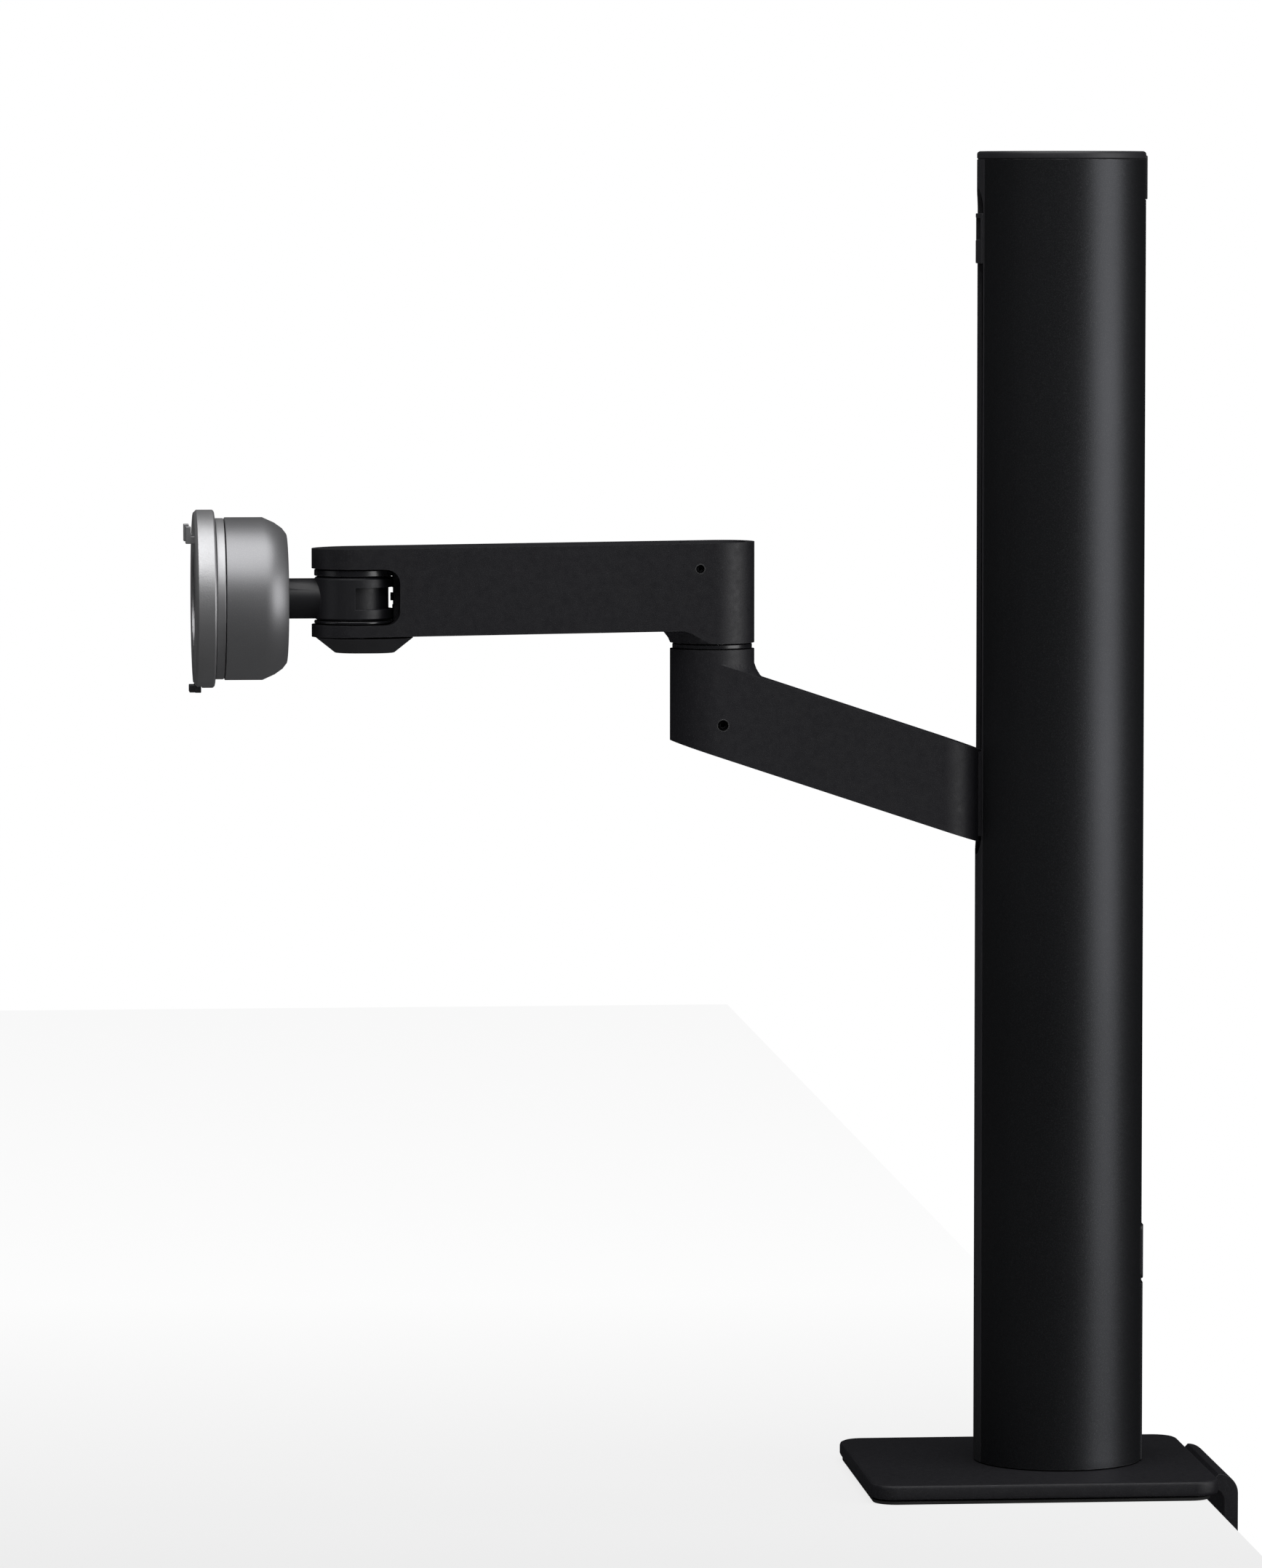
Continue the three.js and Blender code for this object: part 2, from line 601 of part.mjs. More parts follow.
function elbowShaft() {
  const { x, shaftRadius, lowerTop } = elbow;
  const bottom = lowerTop - 33 + GAP;
  const top = upper.rightTop - 5;
  return turned([
    [0, bottom], [shaftRadius, bottom], [shaftRadius, top - 1], [shaftRadius - 1, top], [0, top],
  ], 24).translate(x, 0, 0);
}

const lowerSetScrew = () => setScrew(elbow.lowerLock.radius, 1.4 - arm.width / 2, -elbow.shaftRadius - 0.4)
  .translate(elbow.lowerLock.x, 0, elbow.lowerLock.z);
const upperSetScrew = () => setScrew(elbow.upperLock.radius, 1.2 - arm.width / 2, 5.6 - arm.width / 2)
  .translate(elbow.upperLock.x, 0, elbow.upperLock.z);

function elbowRing() {
  const { x, radius, shaftRadius, lowerTop, upperBottom } = elbow;
  return ring(radius - 0.8, shaftRadius + GAP, lowerTop + GAP, upperBottom - RUN, 32).translate(x, 0, 0);
}

function elbowNut() {
  return nut(elbow.shaftRadius + 3.6, elbow.shaftRadius + GAP, elbow.seat + 2, upper.rightTop - 6)
    .translate(elbow.x, 0, 0);
}

// ---------------------------------------------------------------- upper arm

// The upper arm ends in a fork for the head. A narrow web closes the fork behind the knuckle and follows
// its shape. A small window goes through it, and its tooth meets the ends of the knuckle's groove.
function upperArm() {
  const right = elbow.x + elbow.radius;
  const left = fork.x - fork.radius;
  const half = arm.width / 2;
  const { pocketBottom, pocketTop, rebateEnd } = fork;
  const side = outline([
    [left, upper.leftBottom], [right, upper.rightBottom], [right, upper.rightTop], [left, upper.leftTop],
  ]);
  const { upperBottom, shaftRadius, upperLock, seat } = elbow;
  const plan = slabXY(roundedRectangle(left, right, -half, half, half), upperBottom, upper.rightTop + 8, 12);
  const sweep = coving(upperBottom, upper.rightBottom + 0.1, upper.rightBottom + 5).translate(elbow.x, 0, 0);
  const barrel = rod(elbow.radius, upperBottom, upper.rightBottom + 15, 48).translate(elbow.x, 0, 0);
  const body = common(join(slabXZ(side, -half - 1, half + 1), sweep, barrel), plan);

  const mouthEnd = fork.x + knuckle.neckRadius + 1.55;
  const mouth = box(left - 1, mouthEnd, -half - 1, half + 1, pocketBottom, pocketTop);
  const hollow = rod(knuckle.radius + RUN, pocketBottom, pocketTop, 48).translate(fork.x, 0, 0);
  const rebate = roundedRectangle(left - 20, rebateEnd, pocketBottom, pocketTop, 5);
  const rebates = [[-half - 1, -fork.web / 2], [fork.web / 2, half + 1]]
    .map(([y0, y1]) => slabXZ(rebate, y0, y1, 5));
  const { groove, radius } = knuckle;
  const grooveX = fork.x + radius - groove.depth;
  const window = box(grooveX, grooveX + 1.8, -half, half, groove.bottom + 1.2, groove.top - 0.6);
  const tooth = box(grooveX + 0.7, grooveX + 2.8, -1.1, 1.1, groove.bottom + 2.8, groove.top - 2.2);
  const [bore, pocketRadius] = [shaftRadius + 3, shaftRadius + 6];
  const elbowBore = turned([
    [0, upperBottom - 1], [bore, upperBottom - 1], [bore, seat], [pocketRadius, seat],
    [pocketRadius, upper.rightTop + 3], [0, upper.rightTop + 3],
  ], 28).translate(elbow.x, 0, 0);
  const lockBore = alongY(rod(upperLock.radius + GAP, -half - 1, 6.5 - half, 12))
    .translate(upperLock.x, 0, upperLock.z);
  const pinBore = rod(fork.pinRadius + GAP, upper.leftBottom - 3, upper.leftTop - 3, 20)
    .translate(fork.x, 0, 0);
  return join(cut(body, mouth, hollow, ...rebates, window, elbowBore, lockBore, pinBore), tooth);
}

function elbowBushing() {
  const { x, shaftRadius, upperBottom, seat } = elbow;
  return ring(shaftRadius + 3 - GAP, shaftRadius + GAP, upperBottom + GAP, seat - GAP, 24).translate(x, 0, 0);
}

function elbowCap() {
  const radius = elbow.shaftRadius + 6 - RUN;
  const top = upper.rightTop - RUN;
  return turned([
    [0, top - 3.6], [radius, top - 3.6], [radius, top - 0.6], [radius - 0.6, top], [0, top],
  ], 32).translate(elbow.x, 0, 0);
}

function swivelPin() {
  const seat = upper.leftBottom - GAP;
  const length = upper.leftTop - 3 - GAP - seat;
  return socketScrew(fork.pinRadius, length, fork.pinRadius + 3, 3).translate(fork.x, 0, seat);
}

function forkRing(bottom, top) {
  return ring(knuckle.radius, fork.pinRadius + GAP, bottom, top, 40).translate(fork.x, 0, 0);
}

// The chamfered cover under the fork hides the head of the swivel pin.
function forkCap() {
  const chamfer = 6.8;
  const top = upper.leftBottom - GAP;
  const bottom = top - 5.4;
  const half = fork.radius - GAP - chamfer;
  const foot = roundedRectangle(fork.x - half + 1.1, fork.x + half + 6.3, -half, half, half);
  const body = new THREE.ExtrudeGeometry(foot, {
    depth: 0.2, bevelThickness: top - bottom, bevelSize: chamfer, bevelSegments: 1, curveSegments: 10,
  }).translate(0, 0, top);
  const upperHalf = box(fork.x - 40, fork.x + 40, -20, 20, top, top + 20);
  const room = rod(fork.pinRadius + 3.6, bottom + 1.8, top + 1, 24).translate(fork.x, 0, 0);
  return cut(body, upperHalf, room);
}

// ---------------------------------------------------------------- head

// The knuckle turns in the fork. Its neck reaches into the cup and ends in an eye on the tilt shaft.
function knuckleBody() {
  const { radius, bottom, top, neckRadius, axisZ, groove } = knuckle;
  const { lugWidth, lugRadius } = tilt;
  const barrel = turned([
    [0, bottom], [radius - 0.6, bottom], [radius, bottom + 0.6],
    [radius, top - 0.6], [radius - 0.6, top], [0, top],
  ], 40).translate(fork.x, 0, 0);
  const neck = alongX(rod(neckRadius, tilt.x + 4, fork.x - 8, 28)).translate(0, 0, axisZ);
  const eye = alongY(rod(lugRadius, -lugWidth / 2, lugWidth / 2, 28)).translate(tilt.x, 0, axisZ);
  const flats = [-1, 1].map((side) => box(tilt.x - 10, tilt.x + 8.6,
    side < 0 ? -20 : lugWidth / 2, side < 0 ? -lugWidth / 2 : 20, axisZ - 12, axisZ + 12));
  const pinBore = rod(fork.pinRadius + RUN, bottom - 1, top + 1, 20).translate(fork.x, 0, 0);
  const shaftBore = alongY(rod(tilt.shaftRadius + RUN, -10, 10, 20)).translate(tilt.x, 0, axisZ);
  const grooveCut = slabXY(sector(groove.halfAngle * Math.PI / 180, radius - groove.depth, radius + 2),
    groove.bottom, groove.top, 20).translate(fork.x, 0, 0);
  return cut(join(cut(neck, ...flats), barrel, eye), pinBore, shaftBore, grooveCut);
}

// Two cheeks on a round plate. The boss on the plate's front carries the turning mount.
function tiltBracket() {
  const back = cup.front - GAP;
  const front = mount.back + GAP;
  const disc = alongX(rod(cup.radius - GAP, front, back, 40));
  const boss = alongX(rod(mount.bossRadius, mount.front + 3, front + 1, 32));
  const inner = tilt.lugWidth / 2 + 2;
  const cheek = (side) => {
    const shape = new THREE.Shape();
    shape.moveTo(back - 1, -8);
    shape.lineTo(tilt.x, -8);
    shape.absarc(tilt.x, 0, 8, -Math.PI / 2, Math.PI / 2);
    shape.lineTo(back - 1, 8);
    const y = side * (inner + tilt.cheek / 2);
    return slabXZ(shape, y - tilt.cheek / 2, y + tilt.cheek / 2, 8);
  };
  const shaftBore = alongY(rod(tilt.shaftRadius + GAP, -20, 20, 20)).translate(tilt.x, 0, 0);
  const screwBore = alongX(rod(2.8, mount.front, back + 1, 16));
  const stopPin = alongX(rod(mount.stop.pin, mount.back - 2.4, front + 1, 12))
    .translate(0, 0, -mount.stop.radius);
  return cut(join(disc, boss, cheek(-1), cheek(1), stopPin), shaftBore, screwBore).translate(0, 0, tilt.z);
}

function tiltShaft() {
  const { shaftEnd: end, shaftRadius: radius } = tilt;
  return alongY(turned([
    [0, -end - 3], [radius + 3, -end - 3], [radius + 3, -end],
    [radius, -end], [radius, end + 5], [0, end + 5],
  ], 20)).translate(tilt.x, 0, tilt.z);
}

function tiltNut() {
  const { shaftEnd, shaftRadius } = tilt;
  return alongY(nut(shaftRadius + 3, shaftRadius + GAP, shaftEnd, shaftEnd + 4)).translate(tilt.x, 0, tilt.z);
}

function headCup() {
  const { back, rimRadius, bevelX, radius, front, wall } = cup;
  const profile = [
    [radius - wall, front], [radius, front], [radius, bevelX], [radius - 1.9, back - 4.4],
    [radius - 3.9, back - 1.6], [rimRadius, back], [0, back + 0.4], [0, back - wall],
    [rimRadius - 1.6, back - wall - 0.3], [radius - wall - 2.2, back - wall - 3.2],
    [radius - wall, bevelX - 1.4], [radius - wall, front],
  ];
  const shell = turned(profile, 40);
  const opening = slabYZ(stadiumZ(knuckle.neckRadius + 0.65, -15.2, 15.2), back - 6, back + 3, 8);
  return cut(alongX(shell), opening).translate(0, 0, tilt.z);
}

// The round plate that the display hangs on: two hooks above, a latch below, and an arc-shaped
// groove behind that lets it turn a quarter turn about the stop pin.
function mountPlate() {
  const { back, front, radius, recessRadius, stop } = mount;
  const bore = mount.bossRadius + RUN;
  const plate = alongX(turned([
    [bore, back], [bore, front + 4], [recessRadius, front + 4], [recessRadius, front],
    [radius - 1, front], [radius, front + 1], [radius, back - 0.6], [radius - 0.6, back], [bore, back],
  ], 40));
  const groove = new THREE.Shape();
  const start = -Math.PI / 2 - 0.12;
  groove.absarc(0, 0, stop.radius + stop.groove, start, start + Math.PI / 2 + 0.24);
  groove.absarc(0, 0, stop.radius - stop.groove, start + Math.PI / 2 + 0.24, start, true);
  const grooveCut = slabYZ(groove, back - 3, back + 1, 8);
  const hook = (side) => {
    const stem = box(front - 3, front + 1, side * 11 - 3, side * 11 + 3, 20, 22.6);
    const tip = box(front - 3, front - 1.2, side * 11 - 3, side * 11 + 3, 20, 26);
    return join(stem, tip);
  };
  const channel = box(front - 1, front + 2.9, -6.4, 6.4, -40, -18.4);
  const springRoom = box(front - 1, front + 2.9, -2, 2, -19, -16.2);
  return cut(join(plate, hook(-1), hook(1)), grooveCut, channel, springRoom).translate(0, 0, tilt.z);
}

function pivotRetainer() {
  const { front, recessRadius } = mount;
  const disc = rod(recessRadius - RUN, front + 0.8, front + 2.7, 28);
  const seat = turned([
    [0, front], [4.9, front], [4.9, front + 0.6], [2.8, front + 2.7], [2.8, front + 5], [0, front + 5],
  ], 16);
  return alongX(cut(disc, seat)).translate(0, 0, tilt.z);
}

function pivotScrew() {
  return alongX(countersunkScrew(2.4, 9, 4.4)).translate(mount.front + 0.4, 0, tilt.z);
}

function releaseLatch() {
  const { front, radius } = mount;
  const tongue = box(front + 0.3, front + 2.5, -6, 6, -radius - 1.4, -22.5);
  const nose = box(front - 1.6, front + 1, -4, 4, -radius - 1.4, -radius + 1.2);
  return join(tongue, nose).translate(0, 0, tilt.z);
}

function latchSpring() {
  return coil(0.75, 0.28, 2, 2.4).translate(mount.front + 1.4, 0, tilt.z - 22);
}

// ---------------------------------------------------------------- materials and assembly

const finishes = {
  powderCoat: { color: 0x232328, roughness: 0.55, metalness: 0.3 },
  anodised: { color: 0x1a1b1f, roughness: 0.38, metalness: 0.6 },
  trimPlastic: { color: 0x33343a, roughness: 0.5, metalness: 0 },
  glossPlastic: { color: 0x17171b, roughness: 0.22, metalness: 0 },
  satinGrey: { color: 0x8d8e93, roughness: 0.36, metalness: 0.8 },
  steel: { color: 0xa9abb0, roughness: 0.35, metalness: 1 },
  castAluminium: { color: 0x9a9ca1, roughness: 0.5, metalness: 0.9 },
  rubber: { color: 0x151515, roughness: 0.9, metalness: 0 },
  bearingPlastic: { color: 0xd8d6cc, roughness: 0.5, metalness: 0 },
};

const group = new THREE.Group();

function add(name, finish, geometry) {
  const mesh = new THREE.Mesh(geometry, new THREE.MeshStandardMaterial(finishes[finish]));
  mesh.name = name;
  group.add(mesh);
}

add('desk_pad', 'rubber', deskPad());
add('base_plate', 'powderCoat', basePlate());
add('clamp_bracket', 'powderCoat', clampBracket());
bracketScrewPlaces().forEach((place, i) => add(`bracket_screw_${i + 1}`, 'steel', bracketScrew(place)));
add('clamp_screw', 'steel', clampScrew());
add('clamp_knob', 'trimPlastic', clampKnob());
add('pressure_plate', 'steel', pressurePlate());
add('pressure_pad', 'rubber', pressurePad());

add('swivel_spigot', 'castAluminium', swivelSpigot());
spigotScrewPlaces().forEach((place, i) => add(`spigot_screw_${i + 1}`, 'steel', spigotScrew(place)));
add('thrust_ring', 'bearingPlastic', thrustRing());
add('swivel_bushing', 'bearingPlastic', swivelBushing());
add('ring_nut', 'steel', ringNut());
add('column_hub', 'castAluminium', columnHub());

add('column_tube', 'anodised', columnTube());
add('column_cap', 'trimPlastic', columnCap());
add('front_trim', 'trimPlastic', frontTrim());
add('slot_clip', 'trimPlastic', slotClip());
add('rear_cover', 'trimPlastic', rearCover());
add('cover_button', 'trimPlastic', coverButton());
add('button_spring', 'steel', buttonSpring());
add('button_guide', 'bearingPlastic', buttonGuide());
add('rail_foot', 'castAluminium', railFoot());
add('rail_head', 'castAluminium', railHead());
railPlaces().forEach((place, i) => add(`rail_${i + 1}`, 'steel', rail(place)));
railPlaces().forEach((place, i) => add(`stop_buffer_${i + 1}`, 'rubber', stopBuffer(place)));
add('gas_cylinder', 'anodised', gasCylinder());
add('gas_rod', 'steel', gasRod());

add('carriage', 'castAluminium', carriageBlock());
railPlaces().forEach((place, i) => {
  add(`carriage_bushing_${i + 1}`, 'bearingPlastic', carriageBushing(place));
});
screwHeights.forEach((z, i) => add(`arm_screw_${i + 1}`, 'steel', armScrew(z)));
add('lower_arm', 'powderCoat', lowerArm());
add('elbow_shaft', 'steel', elbowShaft());
add('lower_set_screw', 'steel', lowerSetScrew());
add('elbow_ring', 'glossPlastic', elbowRing());
add('elbow_nut', 'steel', elbowNut());

add('upper_arm', 'powderCoat', upperArm());
add('upper_set_screw', 'steel', upperSetScrew());
add('elbow_bushing', 'bearingPlastic', elbowBushing());
add('elbow_cap', 'powderCoat', elbowCap());
add('swivel_pin', 'steel', swivelPin());
add('fork_ring_upper', 'glossPlastic', forkRing(knuckle.top + RUN, fork.pocketTop - RUN));
add('fork_ring_lower', 'glossPlastic', forkRing(fork.pocketBottom + RUN, knuckle.bottom - RUN));
add('fork_cap', 'trimPlastic', forkCap());

add('knuckle', 'glossPlastic', knuckleBody());
add('tilt_bracket', 'castAluminium', tiltBracket());
add('tilt_shaft', 'steel', tiltShaft());
add('tilt_nut', 'steel', tiltNut());
add('head_cup', 'satinGrey', headCup());
add('mount_plate', 'castAluminium', mountPlate());
add('pivot_retainer', 'steel', pivotRetainer());
add('pivot_screw', 'steel', pivotScrew());
add('release_latch', 'trimPlastic', releaseLatch());
add('latch_spring', 'steel', latchSpring());

export default group;
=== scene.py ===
"""Monitor arm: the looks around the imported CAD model. Metres, in the model's own frame."""

import json
import math

import bmesh
import bpy
from mathutils import Matrix, Vector

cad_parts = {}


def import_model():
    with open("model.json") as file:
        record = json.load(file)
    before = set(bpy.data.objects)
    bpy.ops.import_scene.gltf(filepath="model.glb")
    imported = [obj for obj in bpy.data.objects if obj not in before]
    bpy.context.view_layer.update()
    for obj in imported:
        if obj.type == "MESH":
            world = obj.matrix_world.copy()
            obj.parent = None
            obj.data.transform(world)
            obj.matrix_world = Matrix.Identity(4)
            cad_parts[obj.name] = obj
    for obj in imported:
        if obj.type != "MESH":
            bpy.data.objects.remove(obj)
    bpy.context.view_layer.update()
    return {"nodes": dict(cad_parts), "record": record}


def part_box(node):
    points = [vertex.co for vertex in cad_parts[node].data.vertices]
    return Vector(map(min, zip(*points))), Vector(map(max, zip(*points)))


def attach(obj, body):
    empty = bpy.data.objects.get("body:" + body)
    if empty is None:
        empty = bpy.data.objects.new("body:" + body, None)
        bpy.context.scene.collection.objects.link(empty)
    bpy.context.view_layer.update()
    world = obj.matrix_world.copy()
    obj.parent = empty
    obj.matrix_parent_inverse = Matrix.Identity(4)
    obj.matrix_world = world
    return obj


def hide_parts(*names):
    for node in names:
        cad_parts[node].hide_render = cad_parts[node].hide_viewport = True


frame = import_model()
MM = 0.001
EDGE_ROUND = 0.25 * MM
SAME_POINT = 0.001 * MM
FLAT_ANGLE = math.radians(1)
SHARP_ANGLE = math.radians(35)
DESK_THICKNESS = 24.8 * MM


# ---------------------------------------------------------------- node graph helpers

class Graph:
    """A material's node tree, with the object's own metres as its coordinates."""

    def __init__(self, name):
        self.material = bpy.data.materials.new(name)
        self.material.use_nodes = True
        self.tree = self.material.node_tree
        self.shader = self.tree.nodes["Principled BSDF"]
        self.place = self.tree.nodes.new("ShaderNodeTexCoord").outputs["Object"]

    def node(self, kind, inputs=(), **settings):
        made = self.tree.nodes.new(kind)
        for key, value in settings.items():
            setattr(made, key, value)
        for key, value in dict(inputs).items():
            self.feed(made.inputs[key], value)
        return made

    def feed(self, socket, value):
        if isinstance(value, bpy.types.NodeSocket):
            self.tree.links.new(value, socket)
        else:
            socket.default_value = value

    def stretched(self, x, y, z):
        return self.node("ShaderNodeMapping", {"Vector": self.place, "Scale": (x, y, z)}).outputs["Vector"]

    def noise(self, scale, detail=2.0, rough=0.5, at=None):
        inputs = {"Vector": at or self.place, "Scale": scale, "Detail": detail, "Roughness": rough}
        return self.node("ShaderNodeTexNoise", inputs).outputs["Fac"]

    def ramp(self, factor, low, high, out_low=0.0, out_high=1.0):
        inputs = {"Value": factor, "From Min": low, "From Max": high, "To Min": out_low, "To Max": out_high}
        return self.node("ShaderNodeMapRange", inputs).outputs["Result"]

    def maths(self, operation, a, b):
        return self.node("ShaderNodeMath", {0: a, 1: b}, operation=operation).outputs["Value"]

    def mix(self, factor, a, b):
        made = self.tree.nodes.new("ShaderNodeMix")
        made.data_type = "RGBA"
        self.feed(made.inputs["Factor"], factor)
        self.feed(made.inputs["A"], a)
        self.feed(made.inputs["B"], b)
        return made.outputs["Result"]

    def bump(self, height, depth, strength=1.0, below=None):
        inputs = {"Height": height, "Distance": depth, "Strength": strength}
        if below:
            inputs["Normal"] = below
        return self.node("ShaderNodeBump", inputs).outputs["Normal"]

    def edges(self, radius=0.0006):
        """1 along edges, where the finish rubs thin, and 0 on flat faces."""
        rounded = self.node("ShaderNodeBevel", {"Radius": radius}).outputs["Normal"]
        flat = self.node("ShaderNodeNewGeometry").outputs["Normal"]
        alike = self.node("ShaderNodeVectorMath", {0: rounded, 1: flat}, operation="DOT_PRODUCT")
        return self.ramp(alike.outputs["Value"], 0.99, 0.90)

    def set(self, **sockets):
        for key, value in sockets.items():
            self.feed(self.shader.inputs[key.replace("_", " ")], value)
        return self.material


def rgb(value):
    return (value[0], value[1], value[2], 1.0)


# ---------------------------------------------------------------- materials

def powder_coat():
    g = Graph("powder_coat")
    grain = g.noise(2600, 2.0, 0.6)
    peel = g.noise(420, 2.0)
    cloud = g.noise(18, 3.0)
    base = g.mix(g.ramp(cloud, 0.3, 0.7), rgb((0.0075, 0.0073, 0.0095)), rgb((0.0095, 0.0092, 0.0120)))
    base = g.mix(g.ramp(grain, 0.55, 0.75, 0.0, 0.35), base, rgb((0.05, 0.05, 0.055)))
    worn = g.maths("MULTIPLY", g.edges(), g.ramp(g.noise(260, 3.0), 0.45, 0.7, 0.0, 0.4))
    base = g.mix(worn, base, rgb((0.06, 0.06, 0.065)))
    normal = g.bump(grain, 0.00008, 0.35, g.bump(peel, 0.00015, 0.25))
    return g.set(Base_Color=base, Roughness=g.ramp(peel, 0.2, 0.8, 0.46, 0.6), Normal=normal,
                 Specular_IOR_Level=0.45)


def anodised():
    g = Graph("anodised")
    grain = g.noise(3400, 1.5, 0.5)
    cloud = g.noise(9, 3.0)
    streak = g.noise(60, 2.0, 0.5, g.stretched(1, 1, 0.03))
    base = g.mix(g.ramp(cloud, 0.3, 0.7), rgb((0.034, 0.035, 0.038)), rgb((0.042, 0.043, 0.047)))
    base = g.mix(g.ramp(grain, 0.5, 0.8, 0.0, 0.5), base, rgb((0.10, 0.102, 0.108)))
    worn = g.maths("MULTIPLY", g.edges(), g.ramp(g.noise(300, 2.0), 0.4, 0.7, 0.0, 0.6))
    base = g.mix(worn, base, rgb((0.2, 0.2, 0.21)))
    roughness = g.maths("ADD", g.ramp(grain, 0.2, 0.8, 0.36, 0.46), g.ramp(streak, 0.3, 0.7, -0.02, 0.02))
    return g.set(Base_Color=base, Metallic=0.85, Roughness=roughness, Normal=g.bump(grain, 0.00006, 0.35))


def moulded(name, dark, light, roughness, texture, depth, gloss=0.5):
    """A plastic moulding with an etched surface: texture is the grain's fineness, depth its height."""
    g = Graph(name)
    grain = g.noise(texture, 2.0, 0.55)
    cloud = g.noise(30, 2.0)
    base = g.mix(g.ramp(cloud, 0.3, 0.7), rgb(dark), rgb(light))
    worn = g.maths("MULTIPLY", g.edges(), 0.3)
    base = g.mix(worn, base, rgb([c * 2.2 + 0.01 for c in light]))
    return g.set(Base_Color=base, Roughness=g.ramp(grain, 0.2, 0.8, roughness - 0.05, roughness + 0.06),
                 Specular_IOR_Level=gloss, Normal=g.bump(grain, depth, 0.4))


def satin_grey():
    g = Graph("satin_grey")
    flake = g.noise(4200, 1.0, 0.5)
    cloud = g.noise(26, 2.0)
    base = g.mix(g.ramp(cloud, 0.3, 0.7), rgb((0.27, 0.27, 0.28)), rgb((0.31, 0.31, 0.32)))
    base = g.mix(g.ramp(flake, 0.5, 0.8, 0.0, 0.4), base, rgb((0.45, 0.45, 0.46)))
    return g.set(Base_Color=base, Metallic=0.8, Roughness=g.ramp(flake, 0.2, 0.8, 0.42, 0.50),
                 Normal=g.bump(flake, 0.00004, 0.25))


def steel(name, dark, light):
    g = Graph(name)
    turning = g.noise(900, 2.0, 0.6, g.stretched(1, 1, 6))
    spots = g.noise(140, 4.0)
    base = g.mix(g.ramp(spots, 0.35, 0.7), rgb(dark), rgb(light))
    return g.set(Base_Color=base, Metallic=1.0, Roughness=g.ramp(turning, 0.3, 0.7, 0.24, 0.4),
                 Normal=g.bump(turning, 0.00005, 0.3))


def cast():
    g = Graph("cast")
    blast = g.noise(1800, 2.0, 0.6)
    cloud = g.noise(40, 3.0)
    base = g.mix(g.ramp(cloud, 0.3, 0.7), rgb((0.42, 0.42, 0.43)), rgb((0.52, 0.52, 0.53)))
    return g.set(Base_Color=base, Metallic=0.9, Roughness=g.ramp(blast, 0.2, 0.8, 0.42, 0.56),
                 Normal=g.bump(blast, 0.0001, 0.4))


def rubber():
    g = Graph("rubber")
    grain = g.noise(1500, 3.0, 0.6)
    dust = g.noise(50, 4.0)
    base = g.mix(g.ramp(dust, 0.4, 0.7), rgb((0.010, 0.010, 0.010)), rgb((0.020, 0.020, 0.020)))
    return g.set(Base_Color=base, Roughness=g.ramp(dust, 0.3, 0.7, 0.78, 0.9), Specular_IOR_Level=0.3,
                 Normal=g.bump(grain, 0.00015, 0.5))


MATERIALS = {
    "powder_coat": powder_coat(),
    "anodised": anodised(),
    "trim_plastic": moulded("trim_plastic", (0.017, 0.017, 0.019), (0.022, 0.022, 0.025), 0.5, 2200, 0.0001),
    "gloss_plastic": moulded("gloss_plastic", (0.010, 0.010, 0.012), (0.014, 0.014, 0.016), 0.26, 260,
                             0.00003, 0.6),
    "satin_grey": satin_grey(),
    "steel": steel("steel", (0.48, 0.48, 0.49), (0.62, 0.62, 0.63)),
    "black_steel": steel("black_steel", (0.020, 0.020, 0.022), (0.035, 0.035, 0.038)),
    "satin_black": moulded("satin_black", (0.009, 0.009, 0.011), (0.012, 0.012, 0.015), 0.48, 900, 0.00006),
    "cast": cast(),
    "rubber": rubber(),
    "bearing_plastic": moulded("bearing_plastic", (0.62, 0.60, 0.54), (0.70, 0.68, 0.62), 0.45, 1600,
                               0.00005),
}
SLOT_OF = {s["node"]: s["material_slot"] for s in frame["record"]["subparts"]}
# Pieces whose finish differs from the usual one of their material slot.
FINISH_OF = {"knuckle": "satin_black", "lower_set_screw": "black_steel", "upper_set_screw": "black_steel"}
BODY_OF = {n: body for body, members in frame["record"]["behaviour"]["bodies"].items() for n in members}


# ---------------------------------------------------------------- pieces

def apply_modifiers(obj):
    evaluated = obj.evaluated_get(bpy.context.evaluated_depsgraph_get())
    mesh = bpy.data.meshes.new_from_object(evaluated)
    obj.modifiers.clear()
    obj.data = mesh


def finish_piece(obj, node, slot):
    """Gives a new piece its material, its smooth shading and its body, and hides the CAD node that it stands
    for.
    """
    obj.data.materials.clear()
    obj.data.materials.append(MATERIALS[FINISH_OF.get(node, slot)])
    for polygon in obj.data.polygons:
        polygon.use_smooth = True
    obj.data.set_sharp_from_angle(angle=SHARP_ANGLE)
    level = obj.modifiers.new("level", "WEIGHTED_NORMAL")
    level.keep_sharp = True
    level.weight = 100
    apply_modifiers(obj)
    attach(obj, BODY_OF[node])
    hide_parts(node)


def softened_copy(node):
    """The CAD node with its flat faces merged and its edges broken by a small round."""
    bm = bmesh.new()
    bm.from_mesh(frame["nodes"][node].data)
    bmesh.ops.remove_doubles(bm, verts=bm.verts, dist=SAME_POINT)
    bmesh.ops.dissolve_limit(bm, angle_limit=FLAT_ANGLE, verts=bm.verts, edges=bm.edges)
    mesh = bpy.data.meshes.new(node + "_fine")
    bm.to_mesh(mesh)
    bm.free()
    obj = bpy.data.objects.new(node + "_fine", mesh)
    bpy.context.scene.collection.objects.link(obj)
    bevel = obj.modifiers.new("edge", "BEVEL")
    bevel.width = EDGE_ROUND
    bevel.segments = 2
    bevel.limit_method = "ANGLE"
    bevel.angle_limit = SHARP_ANGLE
    bevel.use_clamp_overlap = True
    apply_modifiers(obj)
    finish_piece(obj, node, SLOT_OF[node])


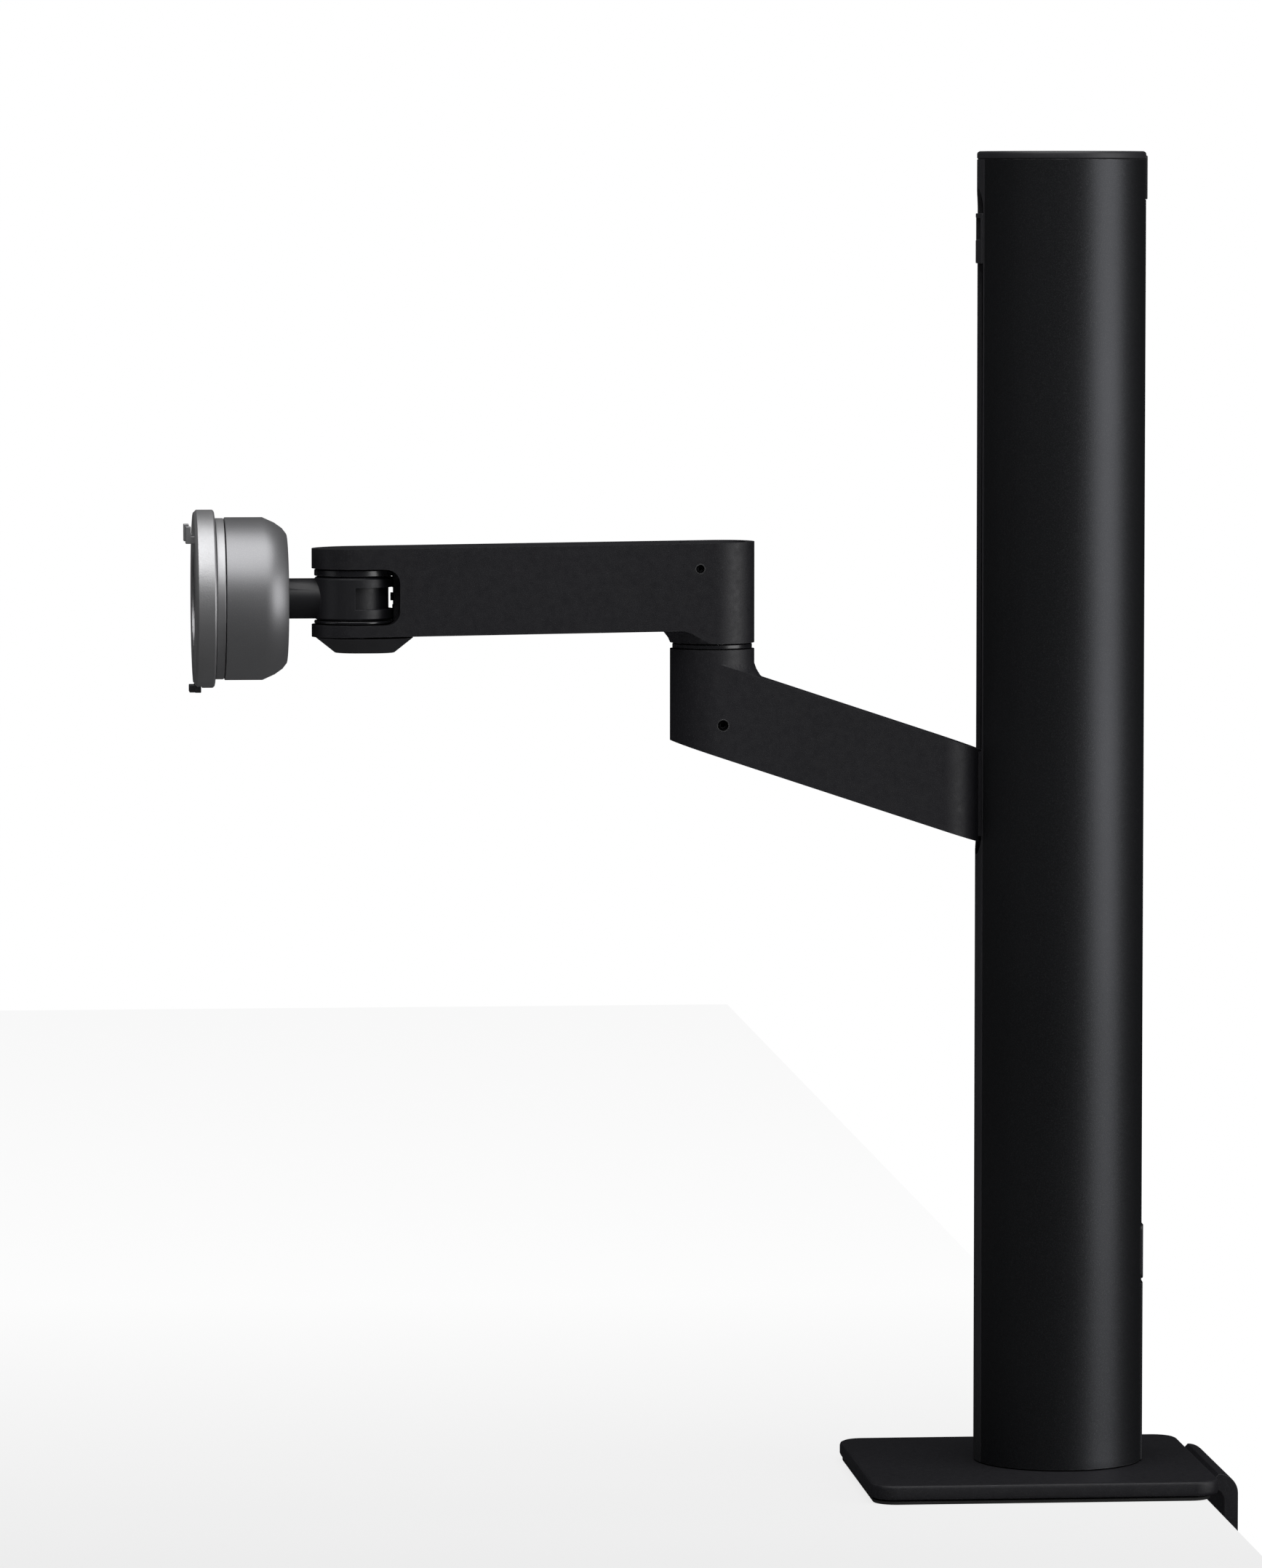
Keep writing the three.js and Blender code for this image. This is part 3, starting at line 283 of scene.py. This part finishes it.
def placed(name, bm, node, slot):
    """A small extra part of a CAD node, in its own finish."""
    bmesh.ops.recalc_face_normals(bm, faces=bm.faces)
    mesh = bpy.data.meshes.new(name)
    bm.to_mesh(mesh)
    bm.free()
    obj = bpy.data.objects.new(name, mesh)
    bpy.context.scene.collection.objects.link(obj)
    finish_piece(obj, node, slot)


def turned_along_y(profile, x, z, segments=32):
    """A closed profile of (radius, y) points turned about the line through x, z along Y."""
    bm = bmesh.new()
    loops = []
    for i in range(segments):
        angle = math.tau * i / segments
        across, up = math.cos(angle), math.sin(angle)
        loops.append([bm.verts.new((x + r * across, y, z + r * up)) for r, y in profile])
    for i in range(segments):
        here, there = loops[i], loops[(i + 1) % segments]
        for k in range(len(profile)):
            m = (k + 1) % len(profile)
            bm.faces.new((here[k], here[m], there[m], there[k]))
    return bm


def screw_hole_rim(arm, screw):
    """The bright ring where the set screw's hole cuts through the coating on the arm's side."""
    low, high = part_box(screw)
    x, z = (low[0] + high[0]) / 2, (low[2] + high[2]) / 2
    radius = (high[0] - low[0]) / 2
    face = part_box(arm)[0][1]
    outer = radius + 0.30 * MM
    profile = [(radius, face - 0.06 * MM), (outer, face - 0.06 * MM), (outer + 0.04 * MM, face + 0.02 * MM),
               (outer, face + 0.30 * MM), (radius, face + 0.90 * MM)]
    placed(arm + "_hole_rim", turned_along_y(profile, x, z), arm, "steel")


def paint_cap_seam_shade():
    """The thin dark ring that fills the seam between the column and its cap: painted shade, standing in for
    the shadow in the gap.
    """
    _, radius, tube_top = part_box("column_tube")[1]
    outer = radius - 0.3 * MM
    inner = outer - 2.4 * MM
    bottom = tube_top - 0.05 * MM
    top = tube_top + 0.35 * MM
    profile = [(inner, -bottom), (outer, -bottom), (outer, -top), (inner, -top)]
    bm = turned_along_y(profile, 0, 0, segments=64)
    bmesh.ops.rotate(bm, verts=bm.verts, matrix=Matrix.Rotation(-math.pi / 2, 3, "X"))
    # Painted shade: a dark ring in the rubber finish, laid in the seam where the gap's shadow falls.
    placed("column_cap_seam_painted_shade", bm, "column_cap", "rubber")


for node in sorted(frame["nodes"]):
    softened_copy(node)
# Painted shade in the seam under the column cap.
paint_cap_seam_shade()
screw_hole_rim("lower_arm", "lower_set_screw")
screw_hole_rim("upper_arm", "upper_set_screw")


# ---------------------------------------------------------------- floor, light and camera

def floor_material():
    """A pale desk top whose faint glow grows a little towards the back."""
    g = Graph("floor")
    depth = g.node("ShaderNodeSeparateXYZ", {"Vector": g.place}).outputs["Y"]
    glow = g.ramp(depth, -0.5, 0.5, 0.67, 0.91)
    shade = g.mix(glow, rgb((0, 0, 0)), rgb((1, 1, 1)))
    return g.set(Base_Color=rgb((0.10, 0.10, 0.10)), Roughness=0.7, Emission_Color=shade,
                 Emission_Strength=1.0)


def floor():
    """A pale desk top that ends just inside the clamp. Its own faint glow keeps it evenly pale."""
    left, near, far = -1.9, -2.3, 1.724
    right_near, right_far = 0.0395, 0.0516
    corners = [(left, near), (right_near, near), (right_far, far), (left, far)]
    bm = bmesh.new()
    top = [bm.verts.new((x, y, 0.0)) for x, y in corners]
    under = [bm.verts.new((x, y, -DESK_THICKNESS)) for x, y in corners]
    bm.faces.new(top)
    bm.faces.new(under[::-1])
    for i in range(4):
        j = (i + 1) % 4
        bm.faces.new((top[i], under[i], under[j], top[j]))
    bmesh.ops.recalc_face_normals(bm, faces=bm.faces)
    mesh = bpy.data.meshes.new("floor")
    bm.to_mesh(mesh)
    bm.free()
    mesh.materials.append(floor_material())
    obj = bpy.data.objects.new("floor", mesh)
    bpy.context.scene.collection.objects.link(obj)
    obj.visible_glossy = False


def area_light(name, position, target, width, power):
    """A square soft box that faces its target."""
    data = bpy.data.lights.new(name, "AREA")
    data.shape = "SQUARE"
    data.size = width
    data.energy = power
    obj = bpy.data.objects.new(name, data)
    obj.location = position
    obj.rotation_euler = (Vector(target) - Vector(position)).to_track_quat("-Z", "Y").to_euler()
    bpy.context.scene.collection.objects.link(obj)


def world():
    """White to the camera, and a dim grey room to everything else."""
    made = bpy.data.worlds.new("studio")
    made.use_nodes = True
    tree = made.node_tree
    room = tree.nodes["Background"]
    room.inputs["Color"].default_value = rgb((0.9, 0.93, 1.0))
    room.inputs["Strength"].default_value = 0.014
    seen = tree.nodes.new("ShaderNodeBackground")
    seen.inputs["Color"].default_value = rgb((1, 1, 1))
    path = tree.nodes.new("ShaderNodeLightPath")
    mix = tree.nodes.new("ShaderNodeMixShader")
    tree.links.new(path.outputs["Is Camera Ray"], mix.inputs[0])
    tree.links.new(room.outputs[0], mix.inputs[1])
    tree.links.new(seen.outputs[0], mix.inputs[2])
    tree.links.new(mix.outputs[0], tree.nodes["World Output"].inputs["Surface"])
    bpy.context.scene.world = made


def camera():
    data = bpy.data.cameras.new("camera")
    data.sensor_width = 36
    data.lens = 189.28
    data.clip_end = 50
    obj = bpy.data.objects.new("camera", data)
    obj.location = (-0.407, -2.910, 0.462)
    target = Vector((-0.1534, 0, 0.2508))
    obj.rotation_euler = (target - obj.location).to_track_quat("-Z", "Y").to_euler()
    bpy.context.scene.collection.objects.link(obj)
    bpy.context.scene.camera = obj


floor()
world()
camera()
area_light("key_strip", (1.26, -0.80, 0.42), (-0.05, 0, 0.3), 1.1, 12)
area_light("overhead", (-0.2, -0.6, 1.8), (-0.1, 0, 0.1), 2.2, 38)
bpy.context.scene.view_settings.view_transform = "Standard"
